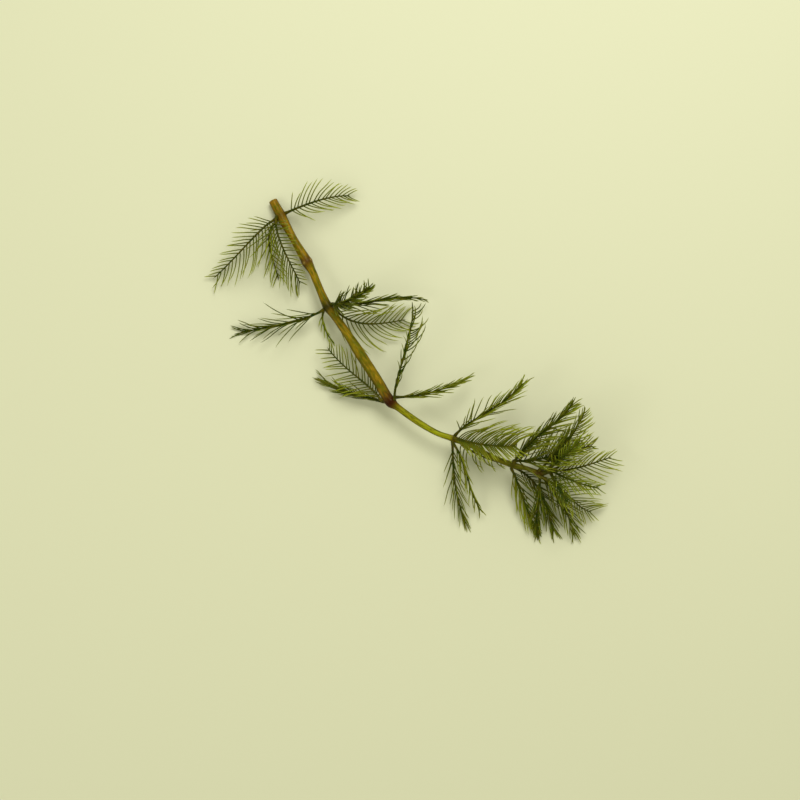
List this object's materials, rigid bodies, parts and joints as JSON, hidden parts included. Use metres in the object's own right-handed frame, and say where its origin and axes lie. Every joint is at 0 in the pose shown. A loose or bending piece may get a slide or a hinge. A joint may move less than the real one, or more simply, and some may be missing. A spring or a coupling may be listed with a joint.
{
  "type": "eurasian watermilfoil shoot",
  "caption": "Cut shoot of a feathery water plant lying flat: a slender jointed stem with whorls of comb-like leaves, crowded towards the growing tip.",
  "frame": {"origin": "on the surface that the shoot lies on, under the centre of its bounding box", "axes": "+X to the right and +Y up in the view from above, with the cut end at the upper left and the growing tip at the lower right; +Z up, away from the surface"},
  "size_m": [0.1252, 0.1088, 0.0228],
  "materials": {
    "stem": "smooth wet stem, olive to ochre with red-brown nodes",
    "leaf": "wet olive-green threads on a darker midrib",
    "young_leaf": "wet, softer yellow-green threads"
  },
  "bodies": {
    "root": {"stem": "stem", "whorl1_leaf1": "leaf", "whorl1_leaf2": "leaf", "whorl1_leaf3": "leaf", "whorl1_leaf4": "leaf", "whorl2_leaf1": "leaf", "whorl2_leaf2": "leaf", "whorl2_leaf3": "leaf", "whorl2_leaf4": "leaf", "whorl2_leaf5": "young_leaf", "whorl3_leaf1": "leaf", "whorl3_leaf2": "leaf", "whorl3_leaf3": "leaf", "whorl3_leaf4": "leaf", "whorl4_leaf1": "leaf", "whorl4_leaf2": "leaf", "whorl4_leaf3": "leaf", "whorl4_leaf4": "leaf", "whorl4_leaf5": "leaf", "whorl5_leaf1": "leaf", "whorl5_leaf2": "leaf", "whorl5_leaf3": "leaf", "whorl5_leaf4": "leaf", "whorl6_leaf1": "leaf", "whorl6_leaf2": "leaf", "whorl6_leaf3": "leaf", "whorl6_leaf4": "leaf", "whorl6_leaf5": "leaf", "tip_leaf1": "young_leaf", "tip_leaf2": "young_leaf", "tip_leaf3": "young_leaf", "tip_leaf4": "young_leaf"}
  },
  "joints": []
}
